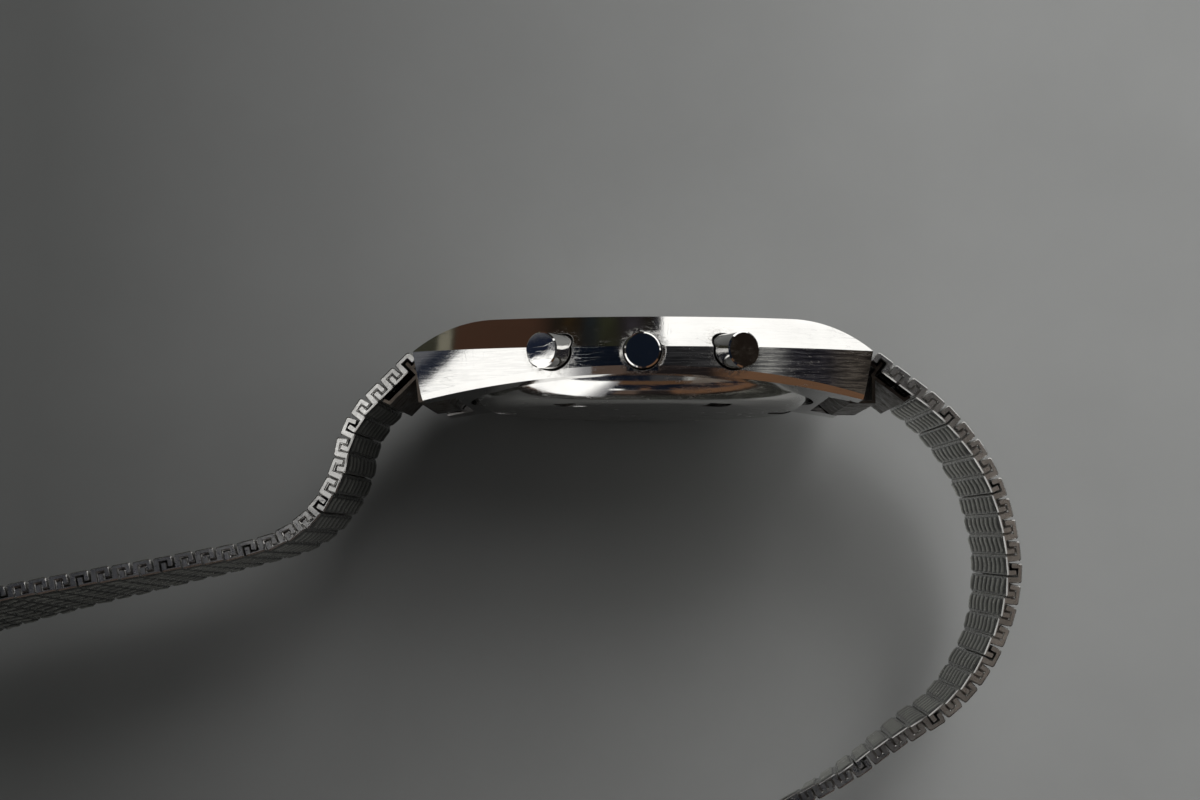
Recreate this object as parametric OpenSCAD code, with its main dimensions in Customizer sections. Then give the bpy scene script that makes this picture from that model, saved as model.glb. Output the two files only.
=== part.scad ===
// Digital wristwatch with a hooked-link bracelet, lying open on its 9 o'clock side.
// X points to 12 o'clock, Y out of the crystal, Z to the three pushers at 3 o'clock.
// The origin is the middle of the case back's flat outer face.
// Each bracelet half is drawn as the 12 o'clock one; the 6 o'clock one is mirrored.

/* [Case] */
// Length over the lug ends
case_l = 38.8; // [37:0.1:41]
// Width across 3 and 9 o'clock
case_w = 36; // [35:0.1:39]
// Height of the case top above the back's flat face
top_y = 7.25; // [7:0.05:8]
// Height of the edge between the flank and the upper bevel
edge_y = 4.45; // [4.2:0.05:5]
// How far the upper bevel leans in
bevel_in = 3.5; // [2:0.1:4]
// Plan radius of the bulged flanks
flank_r = 40.5; // [38:0.5:60]
// Radius of the rounded slope at each end of the case top
end_slope_r = 9.5; // [8:0.1:11]
// Height of the arched underside at its middle
arch_y = 2.24; // [2:0.02:2.4]
// Radius of the arched underside
arch_r = 91; // [80:1:120]
// Height of the narrow lower bevel
low_bevel_h = 0.65; // [0.3:0.05:0.9]
// Depth of the narrow lower bevel
low_bevel_in = 0.6; // [0.3:0.05:0.9]
// Lean of the lug ends, from the edge down to the tip
lug_lean = 0.9; // [0.5:0.1:1.2]
// Length of the case between the lugs
middle_l = 32; // [31.8:0.1:32.6]
// Room between a pair of lugs past the bracelet's width
lug_room = 0.5; // [0.4:0.1:1]
// Radius of the round bore for the module
cavity_r = 13.2; // [13.1:0.05:13.4]
// Height of the ceiling over the module
ceiling_y = 5.2; // [5.1:0.05:5.5]

/* [Crystal and dial] */
// Crystal length towards 12 o'clock
crystal_l = 24.8; // [23:0.1:25]
// Crystal width towards 3 o'clock
crystal_w = 20.8; // [20:0.1:22]
// Corner radius of the crystal
crystal_corner = 6.5; // [4:0.1:8]
// Crystal thickness
crystal_t = 1.3; // [1:0.05:1.6]
// Chamfer round the crystal's top
crystal_chamfer = 0.35; // [0.1:0.05:0.6]
// Wall of the crystal gasket
gasket_t = 0.3; // [0.2:0.05:0.5]
// Thickness of the gasket's foot under the crystal
gasket_foot = 0.1; // [0.05:0.01:0.2]
// Ledge that carries the crystal
crystal_ledge = 0.9; // [0.6:0.1:1.2]
// Display window width
window_w = 18.4; // [16:0.1:19]
// Display window height
window_h = 8.2; // [6:0.1:9]
// Thickness of the dial mask
mask_t = 0.25; // [0.15:0.05:0.3]
// Height of one display digit
digit_h = 5.4; // [4:0.1:6]
// Width of one display digit
digit_w = 2.7; // [2:0.1:3]
// Stroke of a digit's bars
digit_stroke = 0.5; // [0.3:0.05:0.7]

/* [Case back] */
// Radius of the case back
back_r = 15.3; // [15:0.05:15.4]
// Radius of its flat outer face
back_flat_r = 12.5; // [12:0.1:13.5]
// Floor thickness of the case back
back_t = 0.85; // [0.6:0.05:0.95]
// Height of the back's neck above its flange
neck_h = 0.6; // [0.4:0.05:0.65]
// Wall of the neck
neck_wall = 0.6; // [0.4:0.05:0.65]
// Clearance round the back and its neck
back_clear = 0.05; // [0.03:0.01:0.1]
// Number of key notches in the back
notches = 6; // [3:1:8]
// Width of a key notch
notch_w = 2.2; // [1.5:0.1:3]

/* [Pushers] */
// Height of the pusher axes
push_y = 4.1; // [4:0.02:4.2]
// Distance of the outer pushers from the middle one
push_pitch = 7.5; // [7:0.1:8]
// Tilt of the outer pushers
push_tilt = 30; // [25:1:32]
// Radius of a pusher head
head_r = 1.5; // [1.3:0.02:1.52]
// Radius of the hole round a head
well_r = 1.6; // [1.55:0.01:1.65]
// Depth of the hole round a head
well_d = 2.6; // [2.4:0.1:2.8]
// How far the outer heads stand out
stand_out = 1.6; // [1:0.1:2]
// How far the middle head stands out
stand_mid = 0.35; // [0.1:0.05:1]
// Part of a head inside its hole
head_in = 1.2; // [1:0.1:1.4]
// Pusher travel
push_travel = 0.7; // [0.4:0.05:0.8]
// Radius of a pusher stem
stem_r = 0.8; // [0.7:0.01:0.82]
// Clearance round a stem
stem_clear = 0.03; // [0.02:0.01:0.05]
// Thickness of a retaining clip
clip_t = 0.25; // [0.15:0.05:0.3]
// Outer radius of a retaining clip
clip_r = 1.15; // [1:0.05:1.2]

/* [Module] */
// Radius of the module
module_r = 12.6; // [12:0.1:12.9]
// Thickness of each display glass
glass_t = 0.55; // [0.4:0.05:0.6]
// Length of both display glasses towards 3 o'clock
glass_w = 21; // [20:0.1:21.5]
// Height of the front glass towards 12 o'clock
front_h = 12.8; // [12:0.1:13.4]
// Height of the rear glass towards 12 o'clock
rear_h = 9.8; // [9:0.1:10.2]
// Thickness of the circuit board
board_t = 0.5; // [0.3:0.05:0.6]
// Top of the circuit board
board_y = 2.9; // [2.8:0.05:3]
// Radius of the battery
battery_r = 3.95; // [3.4:0.05:4.1]
// Thickness of the battery
battery_t = 2.45; // [2.1:0.05:2.5]
// Distance of the battery from the middle, towards 6 o'clock
battery_x = 7.3; // [7:0.1:7.6]

/* [Bracelet] */
// Width of the bracelet
band_w = 18; // [16:0.1:18.2]
// Thickness of the bracelet
band_t = 1.3; // [1.2:0.02:1.5]
// Web between a link's cap and its inner plate
link_web = 0.49; // [0.44:0.01:0.6]
// Width of a hook
link_hook = 0.42; // [0.35:0.01:0.5]
// Gap round a hook
link_gap = 0.17; // [0.165:0.005:0.18]
// Thickness of a link's outer cap
link_cap = 0.36; // [0.3:0.01:0.4]
// Thickness of a link's inner plate
link_plate = 0.2; // [0.15:0.01:0.25]
// Corner radius of a link's cap
cap_round = 0.22; // [0.15:0.01:0.3]
// Small corners of the hooks
hook_round = 0.08; // [0.05:0.01:0.1]
// Links in each separate group
group_links = 4; // [4:1:4]
// Distance of the spring bars from the middle of the case
bar_x = 17.6; // [17.3:0.05:17.7]
// Height of the spring bars
bar_y = 1.9; // [1.8:0.05:2.1]
// Radius of a spring bar
bar_r = 0.65; // [0.5:0.05:0.7]
// Radius of a spring bar's tips
tip_r = 0.4; // [0.3:0.05:0.45]
// Height of the bracelet's first hinge over the spring bar
first_rise = 3.24; // [3.1:0.02:3.4]
// Reach of the 12 o'clock half's first hinge past its spring bar
upper_reach = 1.0; // [0.9:0.05:1.1]
// Reach of the 6 o'clock half's first hinge past its spring bar
lower_reach = 0.3; // [0.2:0.05:0.4]
// Heading of the 12 o'clock half where it leaves the case
upper_heading = -37; // [-42:1:-34]
// Heading of the 6 o'clock half where it leaves the case, mirrored
lower_heading = -45; // [-49:1:-42]
// Most twist between two links of the 12 o'clock half, past its first three groups
upper_twist = 0.95; // [0:0.05:0.95]
// Most twist between two links of the 6 o'clock half, past its first group
lower_twist = -0.5; // [-0.95:0.05:0]
// Sheet thickness of the end clips
sheet = 0.28; // [0.22:0.02:0.3]
// Running clearance of pins and spring bars
pin_clear = 0.04; // [0.02:0.01:0.08]

/* [Clasp] */
// Radius to which the clasp is curved
clasp_r = 38; // [32:1:45]
// Arc that the clasp's cover spans
cover_arc = 37; // [32:1:40]
// Thickness of the clasp's sheet
cover_t = 0.7; // [0.5:0.05:0.8]
// Clearance between the bracelet's edge and the cover's walls
cover_side = 0.4; // [0.3:0.05:0.5]
// Depth of the cover's walls below its pins
cover_wall = 1.5; // [1.2:0.1:2]
// Radius of the clasp's pins
pin_r = 0.5; // [0.4:0.05:0.6]
// Outer radius of the knuckles on the pins
knuckle_r = 0.95; // [0.9:0.01:1]
// Width of the folding blade
blade_w = 12; // [10:0.5:14]
// Angle through which the blade folds
blade_fold = 172; // [160:1:174]
// Radius of the tail's bar
tail_bar_r = 0.6; // [0.5:0.05:0.65]

/* [Hidden] */
$fn = 48;
eps = 0.01;

// Rest bends of the bracelet, inwards positive: pairs of links and degrees a link
upper_bends = spread([[3, 0], [3, 5.2], [3, 6.2], [3, 4.8], [3, 7.1], [3, 5.7], [3, 7.7], [3, -1.8],
    [3, 2.9], [9, 0]]);
lower_bends = spread([[3, 0], [3, 11.5], [2, -9.4], [4, -11], [2, -2.3], [7, -0.1], [15, 0.5]]);

steel = [0.78, 0.78, 0.77];
bright = [0.88, 0.88, 0.87];
dark = [0.12, 0.12, 0.13];
glass = [0.75, 0.82, 0.85, 0.35];

function spread(zones) = [for (zone = zones) for (k = [1:zone[0]]) zone[1]];
function unit(v) = v / norm(v);

// A right-angled outline with each corner given as [x, y, radius]
function rounded(corners) = [for (i = [0:len(corners) - 1])
    let (c = corners[i], n = len(corners), at = [c[0], c[1]], r = c[2],
        p = unit([for (k = [0, 1]) corners[(i + n - 1) % n][k] - c[k]]),
        q = unit([for (k = [0, 1]) corners[(i + 1) % n][k] - c[k]]),
        steps = r > 0.15 ? 3 : 1, m = at + r * (p + q))
    for (k = [0:(r > 0 ? steps : 0)])
        r > 0 ? m - r * (cos(90 * k / steps) * q + sin(90 * k / steps) * p) : at];

// The outline of a bent sheet of thickness t along a line of points
function side_point(pts, i, s) =
    let (n = len(pts), a = unit(pts[min(i + 1, n - 1)] - pts[min(i, n - 2)]),
        b = unit(pts[max(i, 1)] - pts[max(i - 1, 0)]), m = unit(a + b),
        lift = s / max(0.5, m * a))
    pts[i] + lift * [-m[1], m[0]];
function sheet_outline(pts, t) = concat(
    [for (i = [0:len(pts) - 1]) side_point(pts, i, -t / 2)],
    [for (i = [len(pts) - 1:-1:0]) side_point(pts, i, t / 2)]);

module upright() rotate([-90, 0, 0]) children();
module on_dial(y) translate([0, y, 0]) rotate([0, -90, -90]) children();
module disc(r, y0, y1, x = 0, z = 0) translate([x, y0, z]) upright() cylinder(r = r, h = y1 - y0);
module both_sides() { children(); mirror([0, 0, 1]) children(); }
module block(x0, x1, y0, y1, z0, z1) translate([x0, y0, z0]) cube([x1 - x0, y1 - y0, z1 - z0]);
module bar_z(x, y, r, z0, z1) translate([x, y, z0]) cylinder(r = r, h = z1 - z0);

module rounded_plate(l, w, r, h) linear_extrude(h) {
    square([l - 2 * r, w], center = true);
    square([l, w - 2 * r], center = true);
    for (x = [-1, 1], y = [-1, 1]) translate([x * (l / 2 - r), y * (w / 2 - r)]) circle(r);
}

// A rounded plate whose top edge is chamfered all round
module chamfered_plate(l, w, r, h, c) {
    rounded_plate(l, w, r, h - c);
    translate([0, 0, h - c]) {
        for (x = [-1, 1], y = [-1, 1]) translate([x * (l / 2 - r), y * (w / 2 - r), 0])
            cylinder(r1 = r, r2 = r - c, h = c);
        translate([0, w / 2 - r, 0]) rotate([90, 0, 0]) linear_extrude(w - 2 * r) slope(l, c);
        translate([r - l / 2, 0, 0]) rotate([90, 0, 90]) linear_extrude(l - 2 * r) slope(w, c);
    }
}
module slope(l, c) polygon([[-l / 2, 0], [l / 2, 0], [l / 2 - c, c], [c - l / 2, c]]);

// Case

low_tilt = atan(low_bevel_h / low_bevel_in);
low_bevel_r = 1 / (sin(low_tilt) / flank_r - cos(low_tilt) / arch_r);
lug_gap = band_w + lug_room;
lug_tip_x = case_l / 2 - lug_lean;
lug_tip_y = arch_y - arch_r + sqrt(arch_r * arch_r - lug_tip_x * lug_tip_x);
slope_x = case_l / 2 - sqrt(end_slope_r * end_slope_r - pow(end_slope_r - (top_y - edge_y), 2));
flank_mid_z = case_w / 2 - low_bevel_in / 2;
// Radius of the back's bulged side
back_round = (pow(back_r - back_flat_r, 2) + arch_y * arch_y) / (2 * arch_y);
seat_r = back_r + back_clear + 0.1;
neck_r = seat_r - 1.4;
crystal_y = top_y - crystal_t;
ledge_y = crystal_y - gasket_foot;

// Flank and upper bevel of one side: the solid of a round side with a coned top
module side_form() translate([0, 0, case_w / 2 - flank_r]) upright() rotate_extrude($fn = 180)
    polygon([[0, -1], [flank_r, -1], [flank_r, edge_y], [flank_r - bevel_in, top_y], [0, top_y]]);

module low_bevel_form() translate([0, arch_y + low_bevel_h / 2, flank_mid_z]) rotate([-low_tilt, 0, 0])
    translate([0, low_bevel_r, 0]) cylinder(r = low_bevel_r, h = 4 * case_l, center = true, $fn = 360);

module end_form() linear_extrude(2 * case_w, center = true) difference() {
    union() {
        translate([-slope_x, 0]) square([2 * slope_x, top_y]);
        for (s = [-1, 1]) translate([s * slope_x, top_y - end_slope_r]) circle(end_slope_r, $fn = 96);
    }
    for (s = [-1, 1]) polygon([[s * case_l / 2, edge_y + 1], [s * case_l / 2, edge_y],
        [s * (lug_tip_x + 0.25), lug_tip_y + 1], [s * (lug_tip_x - 0.3), -1],
        [s * case_l, -end_slope_r], [s * case_l, edge_y + 1]]);
    translate([0, arch_y - arch_r]) circle(arch_r, $fn = 720);
}

module case_form() intersection() {
    side_form();
    mirror([0, 0, 1]) side_form();
    low_bevel_form();
    mirror([0, 0, 1]) low_bevel_form();
    end_form();
}

module case_body() color(steel) difference() {
    case_form();
    for (s = [-1, 1]) translate([s * (middle_l / 2 + 10), 0, 0])
        cube([20, 4 * top_y, lug_gap], center = true);
    disc(seat_r, -1, arch_y);
    disc(neck_r, arch_y - eps, arch_y + neck_h + 0.05);
    disc(cavity_r, arch_y, ceiling_y);
    translate([0, ledge_y, 0]) upright() rounded_plate(crystal_l + 2 * gasket_t, crystal_w + 2 * gasket_t,
        crystal_corner + gasket_t, 3);
    translate([0, ceiling_y - eps, 0]) upright() rounded_plate(crystal_l - 2 * crystal_ledge,
        crystal_w - 2 * crystal_ledge, crystal_corner - crystal_ledge, 3);
    for (i = [-1, 0, 1]) at_pusher(i) pusher_bore(i);
    middle_notch();
    for (s = [-1, 1]) bar_z(s * bar_x, bar_y, tip_r + pin_clear, -lug_gap / 2 - 1.5, lug_gap / 2 + 1.5);
}

// A step below the middle pusher, open towards the lower bevel
module middle_notch() block(-1.3, 1.3, arch_y + 0.2, push_y - 1, case_w / 2 - 0.45, case_w / 2 + 1);

module crystal() color(glass) translate([0, crystal_y, 0]) upright()
    chamfered_plate(crystal_l, crystal_w, crystal_corner, crystal_t, crystal_chamfer);

module crystal_gasket() color(dark) translate([0, ledge_y, 0]) upright() difference() {
    rounded_plate(crystal_l + 2 * gasket_t, crystal_w + 2 * gasket_t, crystal_corner + gasket_t,
        gasket_foot + crystal_t - crystal_chamfer);
    translate([0, 0, gasket_foot]) rounded_plate(crystal_l, crystal_w, crystal_corner, 3);
    translate([0, 0, -1]) rounded_plate(crystal_l - 2 * crystal_ledge + 0.4,
        crystal_w - 2 * crystal_ledge + 0.4, crystal_corner - crystal_ledge + 0.2, 3);
}

module case_back() color(steel) difference() {
    union() {
        upright() rotate_extrude($fn = 120) {
            square([back_flat_r, arch_y]);
            intersection() {
                square([back_r + 1, arch_y]);
                translate([back_flat_r, back_round]) circle(back_round, $fn = 90);
            }
        }
        disc(neck_r - back_clear, arch_y - eps, arch_y + neck_h);
    }
    disc(neck_r - back_clear - neck_wall, back_t, arch_y + neck_h + 1);
    gasket_ring(0.35, 0);
    for (i = [0:notches - 1]) rotate([0, i * 360 / notches, 0])
        block(back_flat_r - 1.1, back_flat_r + 0.9, -1, 0.45, -notch_w / 2, notch_w / 2);
}

module gasket_ring(w, shrink) translate([0, arch_y - 0.35 + shrink, 0]) upright() difference() {
    cylinder(r = neck_r + 0.25 + w, h = 0.35 - shrink);
    translate([0, 0, -1]) cylinder(r = neck_r + 0.25 - shrink, h = 3);
}
module back_gasket() color(dark) gasket_ring(0.35, 0);

// Room in which a pusher's clip and stem move
module clip_room(i) at_pusher(i) translate([0, 0, -flat_d(i) - 2.6]) cylinder(r = clip_r + 0.3, h = 3.5);

module dial_mask() color(dark) difference() {
    disc(cavity_r - 0.15, ceiling_y - mask_t, ceiling_y);
    for (i = [-1, 0, 1]) clip_room(i);
    block(-window_h / 2, window_h / 2, 0, top_y, -window_w / 2, window_w / 2);
}

// Pushers: local z points out of the case, with zero on the flank

function push_x(i) = i * push_pitch;
push_z_out = case_w / 2 - flank_r + sqrt(flank_r * flank_r - push_pitch * push_pitch);
function push_z(i) = i == 0 ? case_w / 2 : push_z_out;
// Depth of the flat on the cavity wall that a pusher's clip meets
function flat_d(i) = i == 0 ? case_w / 2 - cavity_r - 0.2 : outer_run - 0.35;
// Length of an outer pusher's axis between the flank and the cavity
cross_b = push_pitch * sin(push_tilt) + push_z_out * cos(push_tilt);
outer_run = cross_b - sqrt(cross_b * cross_b
    - (push_pitch * push_pitch + push_z_out * push_z_out - cavity_r * cavity_r));
stem_end = 0.35;

module at_pusher(i) translate([push_x(i), push_y, push_z(i)]) rotate([0, i * push_tilt, 0]) children();

module pusher_bore(i) {
    translate([0, 0, -well_d]) cylinder(r = well_r, h = well_d + 3);
    translate([0, 0, -flat_d(i) - 3]) cylinder(r = stem_r + stem_clear, h = flat_d(i) + 3);
    translate([0, 0, -flat_d(i) - 3]) cylinder(r = clip_r + 0.35, h = 3);
    if (i == 0) translate([0, 0, -0.25]) cylinder(r1 = well_r - 0.05, r2 = well_r + 0.65, h = 0.35);
}

seal_z = well_d + 0.5;
seal_h = 0.45;
seal_in = 0.5;

module pusher(i) color(bright) at_pusher(i) difference() {
    union() {
        translate([0, 0, -head_in]) cylinder(r = head_r, h = head_in + out(i) - 0.12);
        translate([0, 0, out(i) - 0.12]) cylinder(r1 = head_r, r2 = head_r - 0.12, h = 0.12);
        translate([0, 0, -flat_d(i) - clip_t - stem_end]) cylinder(r = stem_r, h = flat_d(i) + clip_t
            + stem_end - head_in + eps);
    }
    translate([0, 0, -seal_z - seal_h]) ring(stem_r + 1, seal_in, seal_h);
    translate([0, 0, -flat_d(i) - clip_t - 0.02]) ring(stem_r + 1, seal_in, clip_t);
}
function out(i) = i == 0 ? stand_mid : stand_out;

module ring(r1, r0, h) difference() {
    cylinder(r = r1, h = h);
    translate([0, 0, -1]) cylinder(r = r0, h = h + 2);
}
module pusher_seal(i) color(dark) at_pusher(i) translate([0, 0, -seal_z - seal_h])
    ring(stem_r + stem_clear - 0.01, seal_in, seal_h);
module pusher_clip(i) color(steel) at_pusher(i) translate([0, 0, -flat_d(i) - clip_t - 0.02])
    difference() {
        ring(clip_r, seal_in, clip_t);
        translate([-seal_in, -3, -1]) cube([2 * seal_in, 3, 3]);
    }
module pusher_spring(i) color(steel) at_pusher(i) translate([0, 0, -well_d])
    ring(stem_r + 0.5, stem_r + 0.2, well_d - head_in);

// Module

lcd_top = ceiling_y - mask_t;
front_y = lcd_top - glass_t;
layer_t = 0.05;
rear_y = front_y - layer_t - glass_t;
reflector_t = 0.1;
strip_x = (front_h + rear_h) / 4 + 0.05;
strip_w = 1.1;
battery_y = back_t + 0.25;
strap_w = 1.2;
strap_half = 6.6;
strap_t = 0.15;
strap_leg = 0.25;

module slab(h, w, y0, y1) block(-h / 2, h / 2, y0, y1, -w / 2, w / 2);
module lcd_front_glass() color(glass) slab(front_h, glass_w, front_y, lcd_top);
module lcd_rear_glass() color(glass) slab(rear_h, glass_w, rear_y, rear_y + glass_t);
module lcd_reflector() color([0.62, 0.64, 0.56]) slab(rear_h, glass_w, rear_y - reflector_t, rear_y);

// Bars of a seven-bar digit, from the top one clockwise to the middle one
bars = [[1, 1, 1, 1, 1, 1, 0], [0, 1, 1, 0, 0, 0, 0], [1, 1, 0, 1, 1, 0, 1], [1, 1, 1, 1, 0, 0, 1],
    [0, 1, 1, 0, 0, 1, 1], [1, 0, 1, 1, 0, 1, 1], [1, 0, 1, 1, 1, 1, 1], [1, 1, 1, 0, 0, 0, 0],
    [1, 1, 1, 1, 1, 1, 1], [1, 1, 1, 1, 0, 1, 1]];
module bar_shape(l) polygon([[-l / 2, 0], [(digit_stroke - l) / 2, digit_stroke / 2],
    [(l - digit_stroke) / 2, digit_stroke / 2], [l / 2, 0], [(l - digit_stroke) / 2, -digit_stroke / 2],
    [(digit_stroke - l) / 2, -digit_stroke / 2]]);
module digit(n, k = 1) {
    w = (digit_w - digit_stroke) * k;
    h = (digit_h - digit_stroke) * k / 2;
    shown = bars[n];
    spots = [[0, h, 0, w], [w / 2, h / 2, 90, h], [w / 2, -h / 2, 90, h], [0, -h, 0, w],
        [-w / 2, -h / 2, 90, h], [-w / 2, h / 2, 90, h], [0, 0, 0, w]];
    for (b = [0:6]) if (shown[b] == 1) translate([spots[b][0], spots[b][1]]) rotate(spots[b][2])
        bar_shape(spots[b][3] - 0.12);
}
digit_pitch = digit_w + 0.75;
module lcd_digits() color(dark) on_dial(rear_y + glass_t) linear_extrude(layer_t - eps) {
    for (k = [[0, -2], [1, -1], [2, 0.35], [3, 1.35]])
        translate([(k[1] - 0.45) * digit_pitch, 0]) digit([1, 2, 3, 4][k[0]]);
    for (s = [-1, 1]) translate([-0.75 * digit_pitch, s * digit_h / 5]) circle(digit_stroke / 2);
    for (k = [0, 1]) translate([(2.25 + 0.62 * k) * digit_pitch - 0.6, -digit_h * 0.18])
        digit([5, 6][k], 0.62);
}

module connector_strip() color([0.35, 0.35, 0.36])
    translate([strip_x, 0, 0]) block(-strip_w / 2, strip_w / 2, board_y, front_y, -glass_w / 2 + 0.5,
        glass_w / 2 - 0.5);

module module_frame() color([0.2, 0.2, 0.21]) difference() {
    union() {
        disc(module_r, board_y, lcd_top);
        difference() {
            disc(module_r, back_t + 0.5, board_y);
            disc(module_r - 0.7, 0, board_y + eps);
        }
    }
    slab(front_h + 0.1, glass_w + 0.1, front_y, top_y);
    slab(rear_h + 0.1, glass_w + 0.1, rear_y - reflector_t, top_y);
    translate([strip_x, 0, 0]) slab(strip_w + 0.1, glass_w - 0.9, 0, top_y);
    disc(battery_r + 0.1, 0, rear_y - reflector_t + eps, -battery_x);
    disc(0.7, front_y - 0.9, top_y, lamp_x, -2.6);
    block(lamp_x - 0.7, lamp_x + 0.7, front_y - 0.9, top_y, -2.6, 2.6);
    for (i = [-1, 0, 1]) {
        clip_room(i);
        at_pusher(i) translate([-1.1, board_y - board_t - 0.2 - push_y, -flat_d(i) - 2.6])
            cube([2.2, push_y - board_y + board_t + 0.9, 3.5]);
    }
    for (p = screw_spots) disc(0.28, board_y - 1, board_y + 0.75, p[0], p[1]);
}
lamp_x = front_h / 2 + 1.1;
screw_spots = [[-3.4, 9.2], [-3.4, -9.2], [9.3, 5.2]];

module circuit_board() color([0.1, 0.32, 0.2]) difference() {
    disc(module_r - 0.75, board_y - board_t, board_y);
    disc(battery_r + 0.15, 0, top_y, -battery_x);
    block(-module_r, -battery_x, 0, top_y, -battery_r - 0.15, battery_r + 0.15);
    for (p = screw_spots) disc(0.32, 0, top_y, p[0], p[1]);
}
module driver_chip() color(dark) {
    block(0.2, 6.2, board_y - board_t - 0.8, board_y - board_t, -3, 3);
    disc(2.3, board_y - board_t - 1.05, board_y - board_t - 0.8, 3.2);
}
module quartz_crystal() color(bright) {
    bar_z(8.6, board_y - board_t - 0.72, 0.7, -4.4, 1.2);
    bar_z(8.6, board_y - board_t - 0.72, 0.52, -4.75, -4.4);
}
module trimmer() color([0.75, 0.68, 0.5]) difference() {
    disc(1.35, board_y - board_t - 0.9, board_y - board_t, 3.4, 7.4);
    block(2.4, 4.4, 0, board_y - board_t - 0.65, 7.2, 7.6);
}
module lamp() color([0.95, 0.93, 0.85]) bar_z(lamp_x, front_y - 0.3, 0.55, -2.2, 2.2);
module battery() color(bright) {
    disc(battery_r, battery_y, battery_y + battery_t - 0.35, -battery_x);
    disc(battery_r - 0.7, battery_y, battery_y + battery_t, -battery_x);
}
module battery_clip() color(steel) difference() {
    union() {
        block(-battery_x - strap_w, -battery_x + strap_w, battery_y - strap_t, battery_y, -strap_half,
            strap_half);
        for (s = [-1, 1]) block(-battery_x - strap_w, -battery_x + strap_w, battery_y - strap_t,
            board_y - board_t, s * (strap_half - strap_leg) - strap_leg,
            s * (strap_half - strap_leg) + strap_leg);
    }
    disc(0.8, 0, top_y, -battery_x);
}
module module_screws() color(bright) for (p = screw_spots) difference() {
    union() {
        disc(0.7, board_y - board_t - 0.35, board_y - board_t, p[0], p[1]);
        disc(0.26, board_y - board_t - eps, board_y + 0.7, p[0], p[1]);
    }
    block(p[0] - 1, p[0] + 1, 0, board_y - board_t - 0.2, p[1] - 0.1, p[1] + 0.1);
}
module contact_springs() color([0.85, 0.7, 0.35]) for (i = [-1, 0, 1]) at_pusher(i)
    translate([-0.9, board_y - board_t - 0.15 - push_y, -flat_d(i) - clip_t - stem_end - push_travel - 0.2])
        union() {
            cube([1.8, push_y - board_y + board_t + 0.15 + 0.6, 0.15]);
            translate([0, 0, -1]) cube([1.8, 0.15, 1.1]);
        }

// Bracelet

pitch = link_web + 2 * link_hook + 3 * link_gap;
hinge_h = (link_plate + band_t - link_cap) / 2;
link_end = link_gap / 2 + link_hook;
web_x = link_end + link_gap;
hook_top = band_t - link_cap - link_gap;

// One link, with its own hinge at the origin and the next one at [pitch, 0]
link_outline = rounded([
    [-link_end, link_plate + link_gap, hook_round], [-link_gap / 2, link_plate + link_gap, hook_round],
    [-link_gap / 2, band_t - link_cap, 0], [web_x, band_t - link_cap, 0], [web_x, 0, hook_round],
    [pitch + link_end, 0, hook_round], [pitch + link_end, hook_top, hook_round],
    [pitch + link_gap / 2, hook_top, hook_round], [pitch + link_gap / 2, link_plate, 0],
    [web_x + link_web, link_plate, 0], [web_x + link_web, band_t, cap_round],
    [-link_end, band_t, cap_round]]);

module band_solid(w = band_w) linear_extrude(w, center = true) children();
module link() band_solid() translate([0, -hinge_h]) polygon(link_outline);

// Frame of link i: the hinge at its origin, X along the link, Z along the hinge.
// A half is its heading, its reach, its bends, its twist and the first link that twists.
// The hooks' gap lets two links twist less the more they bend; a group's first link has no twist.
function turn_z(a) = [[cos(a), -sin(a), 0, 0], [sin(a), cos(a), 0, 0], [0, 0, 1, 0], [0, 0, 0, 1]];
function turn_x(a) = [[1, 0, 0, 0], [0, cos(a), -sin(a), 0], [0, sin(a), cos(a), 0], [0, 0, 0, 1]];
function shift(x, y) = [[1, 0, 0, x], [0, 1, 0, y], [0, 0, 1, 0], [0, 0, 0, 1]];
twist_loss = 0.047;
function bend(half, i) = i < len(half[2]) ? half[2][i] : 0;
function twist(half, i) = i < half[4] || i % group_links == 0 ? 0
    : half[3] * (1 - twist_loss * abs(bend(half, i)));
function before_link(half, i) = i == 0 ? shift(bar_x, bar_y) * turn_z(half[0]) * shift(half[1], first_rise)
    : link_frame(half, i - 1) * shift(pitch, 0);
function link_frame(half, i) = before_link(half, i) * turn_z(-bend(half, i)) * turn_x(twist(half, i));

upper = [upper_heading, upper_reach, upper_bends, upper_twist, 3 * group_links];
lower = [lower_heading, lower_reach, lower_bends, lower_twist, group_links];
link_count = len(upper_bends);

module at_link(half, i) multmatrix(link_frame(half, i)) children();
module link_group(half, g) color(steel) for (k = [0:group_links - 1])
    at_link(half, g * group_links + k) link();

// Folded end clip: an eye on the spring bar, a hook for the first link,
// a strip under the first links and a stop tab behind the lugs
clip_back = 1.36;
strip_reach = 3.95;
strip_drop = 1.24;
tab_reach = 1.75;
tab_drop = 2.96;
fold_drop = 4.16;
module end_clip(half) {
    reach = half[1];
    eye = [-reach, -first_rise];
    color(bright) at_link(half, 0) difference() {
        band_solid(band_w - 1) {
            translate(eye) circle(bar_r + pin_clear + sheet);
            polygon(sheet_outline([[(link_gap + link_hook) / 2, hook_top - hinge_h],
                [(link_gap + link_hook) / 2, link_plate / 2 - hinge_h],
                [-clip_back, link_plate / 2 - hinge_h],
                [-clip_back - 0.09, -1.6], eye + [0, bar_r + 0.2]], sheet));
            polygon(sheet_outline([[strip_reach, -hinge_h - 0.15], [strip_reach - 0.2, -strip_drop],
                [0.42, -strip_drop], [tab_reach, -tab_drop], [0.14, -fold_drop],
                eye + [0.1, -bar_r - 0.18]], sheet));
            translate([0.16, -strip_drop - 0.06]) square([sheet, strip_drop + 0.11 - hinge_h]);
        }
        translate([eye[0], eye[1], -band_w]) cylinder(r = bar_r + pin_clear, h = 2 * band_w);
    }
}
first_tab = 0.38 - first_rise;

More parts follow.
